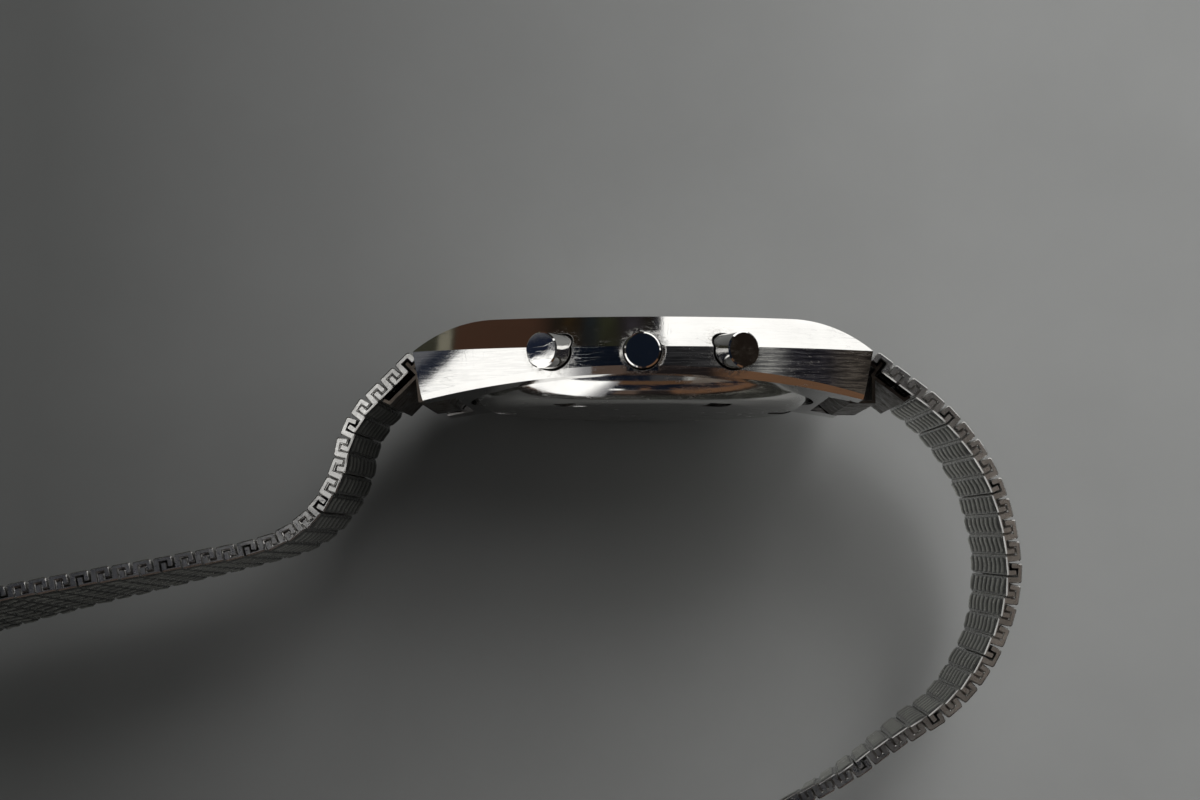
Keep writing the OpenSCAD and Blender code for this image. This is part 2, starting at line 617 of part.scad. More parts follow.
module spring_bars() color(steel) for (s = [-1, 1]) {
    bar_z(s * bar_x, bar_y, bar_r, -band_w / 2 - 0.1, band_w / 2 + 0.1);
    bar_z(s * bar_x, bar_y, tip_r, -lug_gap / 2 - 1.4, lug_gap / 2 + 1.4);
}

// Clasp on the 12 o'clock half and catch bar on the 6 o'clock half

end_pin_x = link_end + 1.75;
end_pin_y = band_t / 2 - hinge_h;
catch_z = 3.6;
catch_w = 1.4;
catch_reach = 1.4;
module end_hook_outline() translate([0, -hinge_h]) polygon(rounded([
    [-link_end, link_plate + link_gap, hook_round], [-link_gap / 2, link_plate + link_gap, hook_round],
    [-link_gap / 2, band_t - link_cap, 0], [web_x, band_t - link_cap, 0], [web_x, 0, hook_round],
    [end_pin_x, 0, 0], [end_pin_x, band_t, 0], [-link_end, band_t, cap_round]]));

module upper_end_piece() color(steel) at_link(upper, link_count) difference() {
    band_solid() {
        end_hook_outline();
        translate([end_pin_x, end_pin_y]) circle(knuckle_r);
    }
    bar_z(end_pin_x, end_pin_y, pin_r + pin_clear, -band_w, band_w);
}

module lower_end_piece() color(steel) mirror([1, 0, 0]) at_link(lower, link_count) difference() {
    union() {
        band_solid() end_hook_outline();
        both_sides() translate([0, 0, catch_z]) linear_extrude(catch_w) {
            translate([end_pin_x - eps, -hinge_h]) square([catch_reach, band_t]);
            translate([end_pin_x + catch_reach, end_pin_y]) circle(band_t / 2);
        }
    }
    bar_z(end_pin_x + catch_reach, end_pin_y, tail_bar_r - 0.2 + pin_clear, -band_w, band_w);
}
module tail_bar() color(bright) mirror([1, 0, 0]) at_link(lower, link_count) {
    bar_z(end_pin_x + catch_reach, end_pin_y, tail_bar_r, 0.05 - catch_z, catch_z - 0.05);
    bar_z(end_pin_x + catch_reach, end_pin_y, tail_bar_r - 0.2, -catch_z - catch_w, catch_z + catch_w);
}

// Clasp parts are drawn round the pin at [0, 0], their arc centred below it
cover_in = knuckle_r + 0.2;
wall_z = band_w / 2 + cover_side;
hinge_a = cover_arc - 2.5;
module at_clasp() at_link(upper, link_count) translate([end_pin_x, end_pin_y, 0]) children();
module at_arc(a) translate([0, -clasp_r, 0]) rotate(-a) translate([0, clasp_r, 0]) children();
module arc_solid(a0, a1) translate([0, -clasp_r, 0]) rotate(90 - a1)
    rotate_extrude(angle = a1 - a0, $fn = 240) children();

module clasp_cover() color(steel) at_clasp() difference() {
    union() {
        arc_solid(-1.3, cover_arc) translate([clasp_r + cover_in, -wall_z - cover_t])
            square([cover_t, 2 * (wall_z + cover_t)]);
        both_sides() arc_solid(-1.3, cover_arc) translate([clasp_r - cover_wall, wall_z])
            square([cover_wall + cover_in + eps, cover_t]);
    }
    for (a = [0, 4, 8, 12, hinge_a]) at_arc(a)
        translate([0, 0, -2 * band_w]) cylinder(r = pin_r + pin_clear, h = 4 * band_w);
}
module clasp_pins() color(bright) at_clasp() for (a = [0, hinge_a]) at_arc(a)
    cylinder(r = pin_r, h = 2 * (wall_z + cover_t), center = true);

blade_t = 0.7;
blade_end = 7;
hook_t = 0.6;
hook_in = tail_bar_r + 0.1;
hook_mid = hook_in + hook_t / 2;
module blade_folded() difference() {
    union() {
        arc_solid(blade_end, hinge_a) translate([clasp_r - blade_t / 2, -blade_w / 2])
            square([blade_t, blade_w]);
        at_arc(hinge_a) cylinder(r = knuckle_r, h = 2 * wall_z - 1.2, center = true);
        at_arc(blade_end) translate([0, -hook_mid, 0]) band_solid(6.6) difference() {
            circle(hook_in + hook_t);
            circle(hook_in);
            translate([0.2, -5]) square([5, 10]);
        }
    }
    at_arc(hinge_a) translate([0, 0, -band_w]) cylinder(r = pin_r + pin_clear, h = 2 * band_w);
}
module clasp_blade() color(steel) at_clasp() at_arc(hinge_a) rotate(blade_fold) unplace_arc(hinge_a)
    blade_folded();
module unplace_arc(a) translate([0, -clasp_r, 0]) rotate(a) translate([0, clasp_r, 0]) children();

case_body();
crystal();
crystal_gasket();
dial_mask();
lcd_front_glass();
lcd_rear_glass();
lcd_digits();
lcd_reflector();
connector_strip();
circuit_board();
driver_chip();
quartz_crystal();
trimmer();
lamp();
module_frame();
battery();
battery_clip();
module_screws();
contact_springs();
case_back();
back_gasket();
pusher(1);  // pusher_upper
pusher(0);  // pusher_middle
pusher(-1);  // pusher_lower
pusher_spring(1);  // pusher_spring_upper
pusher_spring(0);  // pusher_spring_middle
pusher_spring(-1);  // pusher_spring_lower
pusher_clip(1);  // pusher_clip_upper
pusher_clip(0);  // pusher_clip_middle
pusher_clip(-1);  // pusher_clip_lower
pusher_seal(1);  // pusher_seal_upper
pusher_seal(0);  // pusher_seal_middle
pusher_seal(-1);  // pusher_seal_lower
spring_bars();
end_clip(upper);  // end_clip_upper
mirror([1, 0, 0]) end_clip(lower);  // end_clip_lower
link_group(upper, 0);  // upper_links_0
link_group(upper, 1);  // upper_links_1
link_group(upper, 2);  // upper_links_2
link_group(upper, 3);  // upper_links_3
link_group(upper, 4);  // upper_links_4
link_group(upper, 5);  // upper_links_5
link_group(upper, 6);  // upper_links_6
link_group(upper, 7);  // upper_links_7
link_group(upper, 8);  // upper_links_8
mirror([1, 0, 0]) link_group(lower, 0);  // lower_links_0
mirror([1, 0, 0]) link_group(lower, 1);  // lower_links_1
mirror([1, 0, 0]) link_group(lower, 2);  // lower_links_2
mirror([1, 0, 0]) link_group(lower, 3);  // lower_links_3
mirror([1, 0, 0]) link_group(lower, 4);  // lower_links_4
mirror([1, 0, 0]) link_group(lower, 5);  // lower_links_5
mirror([1, 0, 0]) link_group(lower, 6);  // lower_links_6
mirror([1, 0, 0]) link_group(lower, 7);  // lower_links_7
mirror([1, 0, 0]) link_group(lower, 8);  // lower_links_8
upper_end_piece();
lower_end_piece();
clasp_cover();
clasp_pins();
clasp_blade();
tail_bar();
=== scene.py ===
import math
import bmesh
import bpy
from mathutils import Matrix, Vector


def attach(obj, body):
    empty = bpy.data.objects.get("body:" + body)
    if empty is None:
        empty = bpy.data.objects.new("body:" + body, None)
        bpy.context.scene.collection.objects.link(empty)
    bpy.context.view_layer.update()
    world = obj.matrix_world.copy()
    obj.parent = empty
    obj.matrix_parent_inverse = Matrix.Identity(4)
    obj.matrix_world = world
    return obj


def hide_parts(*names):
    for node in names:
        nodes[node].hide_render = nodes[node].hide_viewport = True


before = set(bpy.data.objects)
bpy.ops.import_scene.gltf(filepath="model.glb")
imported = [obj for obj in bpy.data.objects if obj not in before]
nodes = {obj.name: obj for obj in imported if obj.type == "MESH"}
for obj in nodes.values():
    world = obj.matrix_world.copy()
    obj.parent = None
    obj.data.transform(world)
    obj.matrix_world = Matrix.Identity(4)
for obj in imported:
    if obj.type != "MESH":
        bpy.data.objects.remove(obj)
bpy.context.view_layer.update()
MM = 0.001
MM_PER_M = 1000.0
HALVES = ("upper", "lower")
PUSHERS = ("upper", "middle", "lower")


# Shader nodes

def feed(tree, socket, value):
    """Links a socket to another one, or sets it to a plain value."""
    if hasattr(value, "links"):
        tree.links.new(value, socket)
    else:
        socket.default_value = value


def fill(tree, node, **values):
    """Sets a node's properties, and sets or links its inputs; _ stands for a space in an input's name."""
    for key, value in values.items():
        if hasattr(node, key):
            setattr(node, key, value)
        else:
            feed(tree, node.inputs[key.replace("_", " ")], value)
    return node


def add(tree, kind, **values):
    return fill(tree, tree.nodes.new(kind), **values)


def ramp(tree, source, low, high, a=0.0, b=1.0, kind="LINEAR"):
    """Maps a value from [low, high] onto [a, b]."""
    node = add(tree, "ShaderNodeMapRange", interpolation_type=kind, Value=source,
               From_Min=low, From_Max=high, To_Min=a, To_Max=b)
    return node.outputs["Result"]


def step(tree, value, edge, soft):
    """0 below the edge, 1 above it."""
    return ramp(tree, value, edge - soft, edge + soft, kind="SMOOTHSTEP")


def number(tree, operation, *values):
    """The result of a maths node; each value is a number or a socket."""
    node = add(tree, "ShaderNodeMath", operation=operation)
    for socket, value in zip(node.inputs, values):
        feed(tree, socket, value)
    return node.outputs[0]


def times(tree, a, b):
    return number(tree, "MULTIPLY", a, b)


def opposite(tree, mask):
    return number(tree, "SUBTRACT", 1.0, mask)


def between(tree, value, low, high, soft):
    """1 from low to high, with soft edges; without a high end it stays 1."""
    rising = step(tree, value, low, soft)
    if high is None:
        return rising
    return times(tree, rising, opposite(tree, step(tree, value, high, soft)))


def split(tree, vector):
    """The sockets of a vector's x, y and z."""
    return add(tree, "ShaderNodeSeparateXYZ", Vector=vector).outputs


def coords(tree, scale, turn=(0, 0, 0)):
    """The shaded point in metres, times a scale and turned."""
    where = tree.nodes.new("ShaderNodeTexCoord").outputs["Object"]
    return add(tree, "ShaderNodeMapping", Vector=where, Scale=scale, Rotation=turn).outputs[0]


def in_mm(tree):
    """The shaded point's x, y and z in millimetres; the objects' origins are the frame's."""
    return split(tree, coords(tree, (MM_PER_M, MM_PER_M, MM_PER_M)))


def noise(tree, scale, detail=4.0, rough=0.6, turn=(0, 0, 0)):
    """Noise with a scale per metre: one number, or one each along x, y and z.

    Its values lie round 0.5, nearly all from 0.3 to 0.7, so the ramps over it go between such values.
    """
    if not isinstance(scale, tuple):
        scale = (scale, scale, scale)
    node = add(tree, "ShaderNodeTexNoise", Vector=coords(tree, scale, turn), Scale=1.0, Detail=detail,
               Roughness=rough)
    return node.outputs["Fac"]


def blend_colours(tree, base, layers):
    """Lays colours over base; each layer is (mask, colour)."""
    under = (*base, 1)
    for mask, colour in layers:
        node = add(tree, "ShaderNodeMix", data_type="RGBA", clamp_result=False)
        feed(tree, node.inputs[0], mask)
        feed(tree, node.inputs[6], under)
        feed(tree, node.inputs[7], (*colour, 1))
        under = node.outputs[2]
    return under


def shaded(tree, colour, factor):
    """A colour times a factor; the colour is plain or a socket."""
    node = add(tree, "ShaderNodeVectorMath", operation="SCALE", Scale=factor)
    feed(tree, node.inputs[0], colour)
    return node.outputs[0]


def either(tree, factor, first, second):
    """The first shader where the factor is 0, the second where it is 1."""
    node = tree.nodes.new("ShaderNodeMixShader")
    for socket, value in zip(node.inputs, (factor, first, second)):
        feed(tree, socket, value)
    return node.outputs[0]


def bump(tree, height, strength, depth, **values):
    """The normal that a height gives, with a depth in mm."""
    node = add(tree, "ShaderNodeBump", Height=height, Strength=strength, Distance=depth * MM, **values)
    return node.outputs["Normal"]


# Materials

# The case's flank and its pushers as in part.scad, in mm and degrees
PUSH_PITCH = 7.5
PUSH_Y = 4.1
PUSH_TILT = 30.0
FLANK_R = 40.5
CASE_HALF = 18.0

# Where the painted shade in a pusher's hole and the worn ring round it fade out, in mm from the pusher's axis
HOLE_SHADE_R = (1.61, 1.66)
RING_R = (1.7, 2.4)
# Where the wear of the flank fades in: mm along the case, and how far the surface turns from the flank
WORN_X = (-6, 3)
WORN_TURN = (0.15, 0.3)
# How far a surface has to face the wrist for the painted shade on it to start and to be full
WRIST_SHADE_FACING = (-0.75, -0.95)

# What the steel's marks are coloured with; the colour for what faces the wrist is painted shade
PATCH_DIM = 0.86
WRIST_SHADE_COLOUR = (0.03, 0.027, 0.024)
WORN = (0.12, 0.12, 0.13)
DUST = (0.3, 0.28, 0.24)
# The near-black colour painted as shade in the gap round each pusher
HOLE_SHADE_COLOUR = (0.012, 0.011, 0.01)

# How much each kind of mark adds to the steel's roughness
SCRATCH_DULL = 0.3
STREAK_DULL = 0.35
RING_DULL = 0.45
HOLE_SHADE_DULL = 0.5

# Noise scales of the steel, per metre
PATCH_SCALE = 170
FINE_SCALE = 1500
SPECKLE_SCALE = 2600

# Both sets of scratches as (scale per metre, turn), then how thin and deep they are
SCRATCH_A = ((200, 2300, 500), (0.3, 0.5, 0.45))
SCRATCH_B = ((1700, 190, 400), (0.2, -0.6, 0.5))
SCRATCH_THIN = 0.014
SCRATCH_BUMP = 0.006

GLASS_IOR = 1.5


def new_material(name):
    mat = bpy.data.materials.new(name)
    mat.use_nodes = True
    tree = mat.node_tree
    return mat, tree, tree.nodes["Principled BSDF"]


def dimmed(colour, factor):
    return tuple(c * factor for c in colour)


def scratches(tree, scale, turn):
    """Fine straight scratches: the thin middle lines of a stretched, turned noise."""
    field = noise(tree, scale, 2.0, 0.5, turn)
    away = number(tree, "ABSOLUTE", number(tree, "SUBTRACT", field, 0.5))
    return ramp(tree, away, 0.0, SCRATCH_THIN, 1.0, 0.0)


def pusher_distance(tree):
    """How far, in mm, the shaded point is from the nearest pusher's axis."""
    where = tree.nodes.new("ShaderNodeTexCoord").outputs["Object"]
    near = None
    for i in (-1, 0, 1):
        tilt = math.radians(i * PUSH_TILT)
        out = CASE_HALF - FLANK_R + math.sqrt(FLANK_R ** 2 - (i * PUSH_PITCH) ** 2)
        apart = add(tree, "ShaderNodeVectorMath", operation="SUBTRACT")
        feed(tree, apart.inputs[0], where)
        feed(tree, apart.inputs[1], Vector((i * PUSH_PITCH, PUSH_Y, out)) * MM)
        turned = add(tree, "ShaderNodeVectorMath", operation="CROSS_PRODUCT")
        feed(tree, turned.inputs[0], apart.outputs[0])
        feed(tree, turned.inputs[1], (math.sin(tilt), 0, math.cos(tilt)))
        far = add(tree, "ShaderNodeVectorMath", operation="LENGTH")
        feed(tree, far.inputs[0], turned.outputs[0])
        far = far.outputs["Value"]
        near = far if near is None else number(tree, "MINIMUM", near, far)
    return times(tree, near, MM_PER_M)


def facing(tree):
    """How far the surface faces along Y: 1 out of the crystal, -1 towards the wrist."""
    return split(tree, tree.nodes.new("ShaderNodeNewGeometry").outputs["True Normal"])[1]


def worn_side(tree):
    """1 on the flank's 12 o'clock half, fading towards 6 o'clock and on the bevels."""
    flank = ramp(tree, number(tree, "ABSOLUTE", facing(tree)), *WORN_TURN, 1.0, 0.05)
    return times(tree, ramp(tree, in_mm(tree)[0], *WORN_X, 0.15, 1.0), flank)


def steel(name, tint, rough, grain, grain_bump, wear, brush=0.3, wrist_shade=0.0, wells=False):
    """Stainless steel.

    grain is the noise scale per metre along x, y and z: large across the brushing. wear is the depth of
    the scratches, brush the strength of the brushing and the argument after brush the strength of the
    painted shade on what faces the wrist. wells adds the worn flank, the dust ring round the pushers and
    painted shade in their holes.
    """
    mat, tree, shader = new_material(name)
    line = noise(tree, grain, 6.0, 0.75)
    patch = noise(tree, PATCH_SCALE, 5.0)
    fine = noise(tree, FINE_SCALE, 3.0)
    scratch = number(tree, "MAXIMUM",
                     times(tree, scratches(tree, *SCRATCH_A), ramp(tree, patch, 0.45, 0.6)),
                     times(tree, scratches(tree, *SCRATCH_B), ramp(tree, patch, 0.4, 0.3)))
    streaks = times(tree, ramp(tree, line, 0.5, 0.64), ramp(tree, patch, 0.42, 0.6, 0.3, 1.0))
    layers = [(ramp(tree, patch, 0.35, 0.75), dimmed(tint, PATCH_DIM))]
    dulling = [(scratch, SCRATCH_DULL * wear)]
    metal = 1.0
    grain_strength = 0.35
    # Painted shade: faces turned towards the wrist darken to near black
    if wrist_shade:
        layers.append((ramp(tree, facing(tree), *WRIST_SHADE_FACING, 0.0, wrist_shade), WRIST_SHADE_COLOUR))
    if wells:
        side = worn_side(tree)
        streaks = times(tree, streaks, side)
        grain_strength = number(tree, "MULTIPLY_ADD", side, 0.3, 0.08)
        near = pusher_distance(tree)
        speckle = noise(tree, SPECKLE_SCALE, 4.0, 0.7)
        ring = times(tree, ramp(tree, near, *RING_R, 1.0, 0.0), ramp(tree, speckle, 0.42, 0.68))
        # Painted shade: the gap round each pusher turns near black and loses its metal
        hole_shade_mask = ramp(tree, near, *HOLE_SHADE_R, 1.0, 0.0)
        layers += [(times(tree, ramp(tree, line, 0.44, 0.58, 0.85, 0.0), side), WORN),
                   (times(tree, ring, 0.35), DUST), (hole_shade_mask, HOLE_SHADE_COLOUR)]
        dulling += [(ring, RING_DULL), (hole_shade_mask, HOLE_SHADE_DULL)]
        metal = ramp(tree, hole_shade_mask, 0, 1, 1.0, 0.1)
        fine = number(tree, "MULTIPLY_ADD", ring, times(tree, speckle, 3.0), fine)
    dull = times(tree, streaks, STREAK_DULL * brush)
    for mask, amount in dulling:
        dull = number(tree, "MULTIPLY_ADD", mask, amount, dull)
    level = ramp(tree, line, 0.5 - brush / 2, 0.5 + brush / 2, rough * 0.7, rough * (1.2 + brush))
    brushed = bump(tree, line, grain_strength, grain_bump)
    marks = number(tree, "MULTIPLY_ADD", scratch, -wear, fine)
    scratched = bump(tree, marks, 0.25, SCRATCH_BUMP, Normal=brushed)
    fill(tree, shader, Metallic=metal, Base_Color=blend_colours(tree, tint, layers),
         Roughness=number(tree, "ADD", level, dull), Normal=scratched)
    return mat


def plain(name, colour, rough, bump_mm=0.01, scale=900, metallic=0.0, other=None):
    """A moulded, printed or plated surface, with broad patches of a second colour over a fine grain."""
    mat, tree, shader = new_material(name)
    field = noise(tree, scale, 5.0, 0.65)
    patches = ramp(tree, noise(tree, 140), 0.3, 0.7)
    fill(tree, shader, Metallic=metallic, Normal=bump(tree, field, 0.4, bump_mm),
         Base_Color=blend_colours(tree, colour, [(patches, other or dimmed(colour, 0.75))]),
         Roughness=ramp(tree, field, 0.3, 0.7, rough * 0.85, min(1.0, rough * 1.2)))
    return mat


def clear(name, tint, rough):
    """Glass that lets the light through to what lies behind it."""
    mat, tree, shader = new_material(name)
    fill(tree, shader, Base_Color=(*tint, 1), Transmission_Weight=1.0, IOR=GLASS_IOR,
         Roughness=ramp(tree, noise(tree, 300, 5.0), 0.3, 0.7, rough * 0.5, rough * 1.5))
    through = add(tree, "ShaderNodeBsdfTransparent", Color=(*(0.5 + 0.5 * c for c in tint), 1))
    shadow = tree.nodes.new("ShaderNodeLightPath").outputs["Is Shadow Ray"]
    surface = either(tree, shadow, shader.outputs[0], through.outputs[0])
    fill(tree, tree.nodes["Material Output"], Surface=surface)
    return mat


MATS = {
    "case": steel("case_steel", (0.70, 0.69, 0.67), 0.055, (230, 6500, 900), 0.014, 1.0,
                  brush=0.5, wrist_shade=0.6, wells=True),
    "back": steel("back_steel", (0.72, 0.71, 0.69), 0.10, 600, 0.006, 0.8, wrist_shade=0.3),
    "polished": steel("polished_steel", (0.76, 0.75, 0.73), 0.03, 500, 0.004, 0.6),
    "link": steel("link_steel", (0.62, 0.61, 0.59), 0.2, (2600, 2600, 300), 0.012, 0.8),
    # The end clips' steel is tinted near-black brown: painted shade, as they lie in shade beside the case
    "clip": steel("clip_steel", (0.08, 0.067, 0.056), 0.34, 900, 0.01, 0.8),
    "wire": steel("wire_steel", (0.58, 0.58, 0.58), 0.22, (900, 900, 4200), 0.006, 0.6),
    "clasp": steel("clasp_steel", (0.68, 0.67, 0.65), 0.16, (700, 700, 4800), 0.012, 0.8),
    "can": steel("can_steel", (0.7, 0.7, 0.69), 0.18, 800, 0.006, 0.5),
    "crystal": clear("crystal_glass", (0.97, 0.99, 0.99), 0.01),
    "display": clear("display_glass", (0.93, 0.96, 0.92), 0.02),
    "lamp": clear("lamp_glass", (0.98, 0.96, 0.9), 0.05),
    "rubber": plain("black_rubber", (0.025, 0.025, 0.026), 0.6),
    "mask": plain("mask_print", (0.012, 0.012, 0.014), 0.45, 0.004),
    "digits": plain("dark_segments", (0.03, 0.035, 0.04), 0.4, 0.002),
    "reflector": plain("reflector_film", (0.50, 0.53, 0.45), 0.38, 0.006, 1600, 0.3, (0.46, 0.49, 0.42)),
    "board": plain("green_laminate", (0.03, 0.2, 0.08), 0.35),
    "resin": plain("black_resin", (0.02, 0.02, 0.02), 0.4, 0.03, 400),
    "ceramic": plain("ceramic", (0.6, 0.52, 0.36), 0.5),
    "frame": plain("grey_moulding", (0.06, 0.06, 0.065), 0.5, 0.02),
    "gilt": plain("gilt_spring", (0.8, 0.58, 0.22), 0.22, 0.004, 900, 1.0),
}
GROUP = 4
GROUPS = 9
PAINT = {
    "case": ["case_body"],
    "back": ["case_back"],
    "crystal": ["crystal"],
    "rubber": ["crystal_gasket", "back_gasket", "connector_strip"] + ["pusher_seal_" + p for p in PUSHERS],
    "mask": ["dial_mask"],
    "display": ["lcd_front_glass", "lcd_rear_glass"],
    "digits": ["lcd_digits"],
    "reflector": ["lcd_reflector"],
    "board": ["circuit_board"],
    "resin": ["driver_chip"],
    "can": ["quartz_crystal", "battery"],
    "ceramic": ["trimmer"],
    "lamp": ["lamp"],
    "frame": ["module_frame"],
    "gilt": ["contact_springs"],
    "polished": ["pusher_" + p for p in PUSHERS] + ["clasp_pins", "tail_bar"],
    "wire": (["spring_bars", "battery_clip", "module_screws"]
             + ["pusher_%s_%s" % (kind, p) for kind in ("spring", "clip") for p in PUSHERS]),
    "clip": ["end_clip_" + half for half in HALVES],
    "clasp": ["clasp_cover", "clasp_blade"] + [half + "_end_piece" for half in HALVES],
    "link": ["%s_links_%d" % (half, group) for half in HALVES for group in range(GROUPS)],
}


def paint(obj, mat):
    if not obj.material_slots:
        obj.data.materials.append(mat)
    for slot in obj.material_slots:
        slot.material = mat


for key, names in PAINT.items():
    for name in names:
        paint(nodes[name], MATS[key])


# Bracelet links, in mm and degrees as in part.scad

PITCH = 1.84
LINK_GAP = 0.17
LINK_WEB = 0.49
LINK_HOOK = 0.42
LINK_CAP = 0.36
LINK_PLATE = 0.2
BAND_W = 18.0
BAND_T = 1.3
HINGE_H = (LINK_PLATE + BAND_T - LINK_CAP) / 2
HOOK_END = LINK_GAP / 2 + LINK_HOOK
BAR_X = 17.6
BAR_Y = 1.9
RISE = 3.24

# The bend of each link, as runs of (links, degrees)
BENDS = {
    "upper": [(3, 0), (3, 5.2), (3, 6.2), (3, 4.8), (3, 7.1), (3, 5.7), (3, 7.7), (3, -1.8), (3, 2.9),
              (9, 0)],
    "lower": [(3, 0), (3, 11.5), (2, -9.4), (4, -11), (2, -2.3), (7, -0.1), (15, 0.5)],
}
# Each half's heading at its bar, reach to its first hinge, lean a link and first link that leans
START = {"upper": (-37, 1.0, 0.95, 12), "lower": (-45, 0.3, -0.5, 4)}
# How much of its lean a link loses with each degree of bend
LEAN_LOSS = 0.047

# Radii of the outline's corners, and the pieces that a rounded corner has
SMALL_R = 0.08
BIG_R = 0.22
CORNER_PIECES = 3
# An inset corner's normal is lengthened as if the corner were no sharper than this
MITRE = 0.6

# The fine links are cut across at these distances from the band's edge
EDGE_CUTS = ((0.0, "end"), (0.05, "brow"), (0.11, "skin"), (0.32, "skin"), (0.34, "core"))
CUTS = [(BAND_W / 2 - depth, kind) for depth, kind in EDGE_CUTS]
CUTS += [(-z, kind) for z, kind in reversed(CUTS)]
# How far the outline draws in at a cut: on the inner plate, on the cap and in the gaps
DRAW_IN = {"end": (0.11, 0.09, 0.025), "brow": (0.035, 0.035, 0.0), "skin": (0.0, 0.0, -0.02),
           "core": (0.0, 0.0, -0.07)}
# Outline points above CAP_Y are the cap's, those below PLATE_Y the inner plate's; faces may go PAST them
CAP_Y = BAND_T - HINGE_H - 0.24
PLATE_Y = 0.06 - HINGE_H
PAST = 0.09

# The wavy rows on the inner plates: how many, how high and how wavy (in rows)
ROWS = 8
RIDGE_H = 0.18
WAVE = 0.13
# They stop this far from the plate's ends and sides, fade in over ROW_FADE, and their border is sunk
ROW_EDGE = 0.1
ROW_MARGIN = 0.14
ROW_FADE = 0.15
ROW_SUNK = -0.02
STEPS_ALONG = 8
STEPS_ACROSS = ROWS * 8

# The material slots of a fine link, what is added to the lower half's link numbers, and the angle from
# which an edge is shaded sharp
SIDE, CAP, PLATE, RIDGES = range(4)
LOWER_IDS = 40
SHARP = math.radians(28)

# Surfaces of the fine links: noise scales per metre, ribs across the cap, relief in mm, and the stretches
# of X beside the case over which painted shade darkens the inner plates
LINK_GRAIN = 2600
LINK_PATCH = 500
CAP_LINES = (900, 900, 5200)
CAP_RIBS = 6.0
LINK_BUMP = 0.012
DARK_RIGHT = (-10, 0)
DARK_LEFT = (-24, -40)


def link_frames(half):
    """The links' frames, as in part.scad: origin on the hinge, X along the link, Z along the hinge."""
    heading, reach, rate, first = START[half]
    place = (Matrix.Translation((BAR_X, BAR_Y, 0)) @ Matrix.Rotation(math.radians(heading), 4, "Z")
             @ Matrix.Translation((reach, RISE, 0)))
    flip = Matrix.Diagonal((-1, 1, 1, 1)) if half == "lower" else Matrix.Identity(4)
    out = []
    for i, bend in enumerate(b for n, b in BENDS[half] for _ in range(n)):
        turn = 0 if i < first or i % GROUP == 0 else rate * (1 - LEAN_LOSS * abs(bend))
        place = (place @ Matrix.Rotation(math.radians(-bend), 4, "Z")
                 @ Matrix.Rotation(math.radians(turn), 4, "X"))
        out.append(flip @ place)
        place = place @ Matrix.Translation((PITCH, 0, 0))
    return out


def rounded(corners):
    """A polygon whose corners are (x, y, radius)."""
    points = []
    for i, (x, y, r) in enumerate(corners):
        here = Vector((x, y))
        if r == 0:
            points.append(here)
            continue
        a = (Vector(corners[i - 1][:2]) - here).normalized() * r
        b = (Vector(corners[(i + 1) % len(corners)][:2]) - here).normalized() * r
        mid = here + a + b
        for k in range(CORNER_PIECES + 1):
            t = math.radians(90) * k / CORNER_PIECES
            points.append(mid - b * math.cos(t) - a * math.sin(t))
    return points


def link_outline():
    """A link's side profile: cap, web, both hooks and inner plate, with the hinge at the origin."""
    web = HOOK_END + LINK_GAP
    top = BAND_T - LINK_CAP
    return [p - Vector((0, HINGE_H)) for p in rounded([
        (-HOOK_END, LINK_PLATE + LINK_GAP, SMALL_R), (-LINK_GAP / 2, LINK_PLATE + LINK_GAP, SMALL_R),
        (-LINK_GAP / 2, top, 0), (web, top, 0), (web, 0, SMALL_R), (PITCH + HOOK_END, 0, SMALL_R),
        (PITCH + HOOK_END, top - LINK_GAP, SMALL_R), (PITCH + LINK_GAP / 2, top - LINK_GAP, SMALL_R),
        (PITCH + LINK_GAP / 2, LINK_PLATE, 0), (web + LINK_WEB, LINK_PLATE, 0),
        (web + LINK_WEB, BAND_T, BIG_R), (-HOOK_END, BAND_T, BIG_R)])]


def draw_in(p, kind, k):
    """How far the outline of link k of a group draws in at p.

    The core closes the gaps behind the skin, but not those where the group bends.
    """
    loose = (k == 0 and p.x < PITCH / 2) or (k == GROUP - 1 and p.x > PITCH / 2)
    on_plate, on_cap, in_gap = DRAW_IN["skin" if kind == "core" and loose else kind]
    if p.y < PLATE_Y:
        return on_plate
    return on_cap if p.y > CAP_Y else in_gap


def inset(points, depths):
    """The outline moved inwards, by a depth for each point."""
    out = []
    for i, (p, depth) in enumerate(zip(points, depths)):
        a = (p - points[i - 1]).normalized()
        b = (points[(i + 1) % len(points)] - p).normalized()
        normal = Vector((-(a.y + b.y), a.x + b.x))
        out.append(p + normal.normalized() / max(MITRE, normal.length / 2) * depth)
    return out


def ridge_height(u, v, seed):
    """The wavy rows: u runs along the link, v across the band from 0 to 1."""
    bend = math.sin(2 * math.pi * u + 1.7 * seed) + 0.5 * math.sin(9 * v + 2.3 * seed)
    phase = v * ROWS + WAVE * bend
    return RIDGE_H * (0.5 + 0.5 * math.sin(2 * math.pi * phase))


class GroupMesh:
    """A group's mesh while it is built, one link after another."""

    def __init__(self, half):
        self.bm = bmesh.new()
        self.uv = self.bm.loops.layers.uv.new("link")
        self.tag = self.bm.verts.layers.float.new("link_id")
        self.rise = self.bm.verts.layers.float.new("rise")
        self.mirrored = half == "lower"

    def start_link(self, place, i):
        self.place = place
        self.ident = i + (LOWER_IDS if self.mirrored else 0)

    def corner(self, x, y, z, rise=0.0):
        """A new vertex at a point of the link's frame, with the x and z that its UV comes from."""
        v = self.bm.verts.new(self.place @ Vector((x, y, z)) * MM)
        v[self.tag] = self.ident
        v[self.rise] = rise
        return v, x, z

    def face(self, corners, slot):
        if self.mirrored:
            corners = corners[::-1]
        f = self.bm.faces.new([v for v, x, z in corners])
        f.material_index = slot
        f.smooth = True
        for loop, (v, x, z) in zip(f.loops, corners):
            loop[self.uv].uv = (x / PITCH, z / BAND_W + 0.5)


